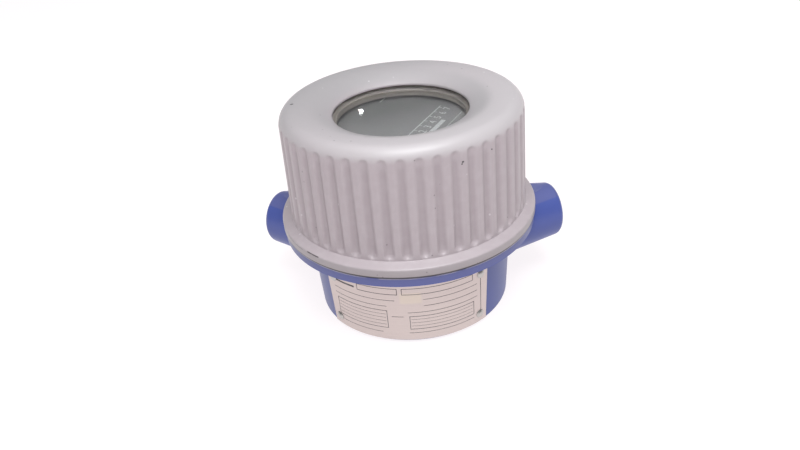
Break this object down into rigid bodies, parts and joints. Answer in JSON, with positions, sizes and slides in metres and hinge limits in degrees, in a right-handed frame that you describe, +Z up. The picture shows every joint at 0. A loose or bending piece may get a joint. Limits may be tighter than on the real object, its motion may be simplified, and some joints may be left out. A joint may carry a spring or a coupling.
{
  "type": "temperature transmitter",
  "caption": "Field temperature transmitter in a round cast housing with swept conduit hubs, a fluted screw cover with a glass window, and a terminal module inside.",
  "frame": {"origin": "centre of the housing's foot, on the surface it stands on", "axes": "+Z up along the axis of the cover's thread; -Y is the side with the data plate; +X runs towards the right hub"},
  "size_m": [0.1562, 0.1252, 0.105],
  "materials": {
    "housing_paint": "satin enamel",
    "cover_paint": "satin, fine texture",
    "plate_steel": "satin",
    "screw_steel": "plain",
    "brass": "plain",
    "bare_aluminium": "machined",
    "glass": "clear",
    "seal_rubber": "matte",
    "case_plastic": "moulded",
    "terminal_plastic": "moulded",
    "board": "solder mask",
    "capacitor_sleeve": "shrink sleeve",
    "label_print": "printed film"
  },
  "bodies": {
    "root": {"housing": "housing_paint", "data_plate": "plate_steel", "plate_drive_screws": "screw_steel", "outer_ground_clamp": "brass", "outer_ground_screw": "screw_steel", "inner_ground_clamp": "brass", "inner_ground_screw": "screw_steel", "cover_lock_screw": "screw_steel", "module_case": "case_plastic", "module_base_plate": "case_plastic", "module_screws": "screw_steel", "circuit_board": "board", "isolation_transformer": "case_plastic", "board_capacitors": "capacitor_sleeve", "board_chips": "case_plastic", "terminal_pins": "brass", "sensor_terminal_block": "terminal_plastic", "loop_terminal_block": "terminal_plastic", "terminal_clamps": "brass", "terminal_screws": "screw_steel", "label_pillars": "screw_steel", "label_plate": "bare_aluminium", "window_label": "label_print", "label_screws": "screw_steel"},
    "seal_carrier": {"cover_seal": "seal_rubber"},
    "cover_group": {"cover": "cover_paint", "window_gasket": "seal_rubber", "window_glass": "glass", "glass_retaining_ring": "bare_aluminium"}
  },
  "joints": [
    {"name": "cover_rise", "type": "slide", "parent": "root", "child": "seal_carrier", "axis": [0, 0, 1], "range_m": [0, 0.01906]},
    {"name": "cover_turn", "type": "hinge", "parent": "seal_carrier", "child": "cover_group", "pos_m": [0, 0, 0.0471], "axis": [0, 0, 1], "range_deg": [0, 2160]}
  ],
  "couplings": [
    {"joint": "cover_rise", "follows": "cover_turn", "m_per_rad": 0.00050532}
  ]
}
